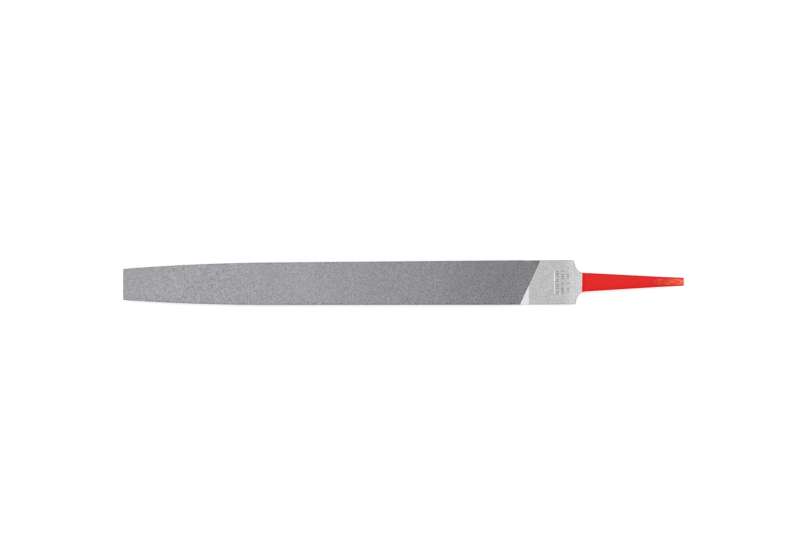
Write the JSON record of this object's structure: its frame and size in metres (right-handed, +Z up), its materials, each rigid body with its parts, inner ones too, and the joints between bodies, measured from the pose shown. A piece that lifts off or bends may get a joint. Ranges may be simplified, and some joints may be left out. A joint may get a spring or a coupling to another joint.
{
  "type": "flat file",
  "caption": "Flat tapered hand file with cross-cut teeth on both faces, a bare heel, rounded shoulders and a red lacquered tang for a handle.",
  "frame": {"origin": "centre of the file's bounding box in X and Y, on the floor it lies on", "axes": "+X along the file from the point to the end of the tang, +Y across the blade, +Z up, square to the faces that carry the teeth"},
  "size_m": [0.3794, 0.03, 0.0071],
  "materials": {
    "tool_steel": "bare hardened steel, satin on the cut faces and lightly blasted on the heel",
    "red_lacquer": "gloss dipped lacquer"
  },
  "bodies": {
    "root": {"file_body": "tool_steel", "tang_lacquer": "red_lacquer"}
  },
  "joints": []
}
